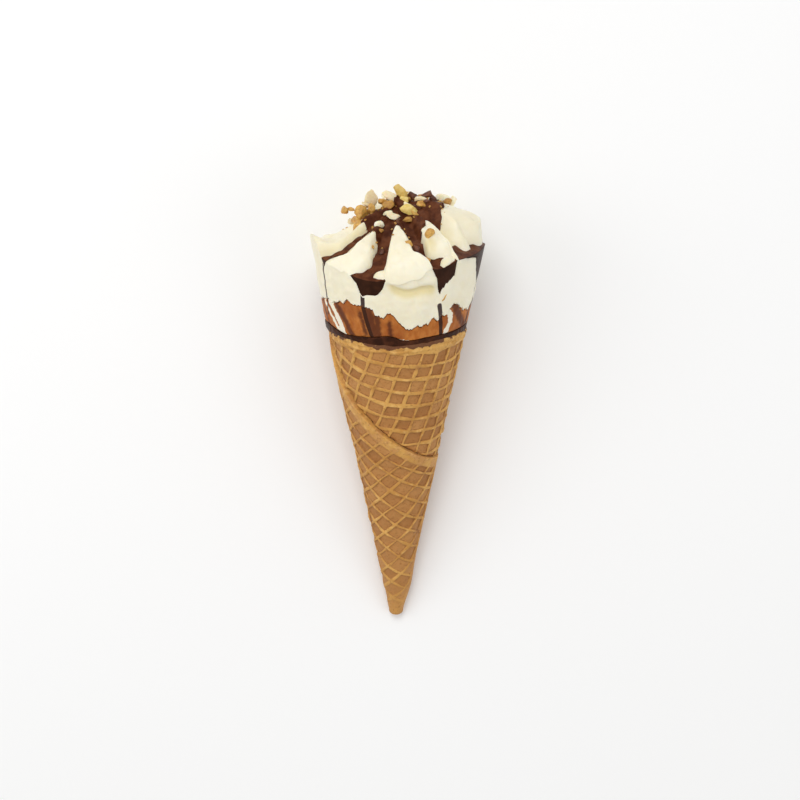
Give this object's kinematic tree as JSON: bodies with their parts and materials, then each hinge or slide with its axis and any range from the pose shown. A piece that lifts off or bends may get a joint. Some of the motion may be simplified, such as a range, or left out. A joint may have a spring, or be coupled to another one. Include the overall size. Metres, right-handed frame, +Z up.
{
  "type": "soft serve cone",
  "caption": "Filled waffle cone lying on its side: rolled wafer, vanilla rosette, chocolate in the grooves and chopped nuts on top.",
  "frame": {"origin": "on the floor, under the middle of the lying cone's box", "axes": "+Z up from the floor, +Y along the cone toward the ice cream, the tip toward -Y, +X to the right of a viewer who looks down with the ice cream at the top"},
  "size_m": [0.0612, 0.1508, 0.057],
  "materials": {
    "wafer": "matt baked wafer",
    "dark_chocolate": "satin dark chocolate",
    "cocoa": "satin cocoa ice",
    "vanilla": "smooth frozen cream"
  },
  "bodies": {
    "root": {"waffle_cone": "wafer", "chocolate_rim": "dark_chocolate", "cocoa_band": "cocoa", "ice_cream": "vanilla"}
  },
  "joints": []
}
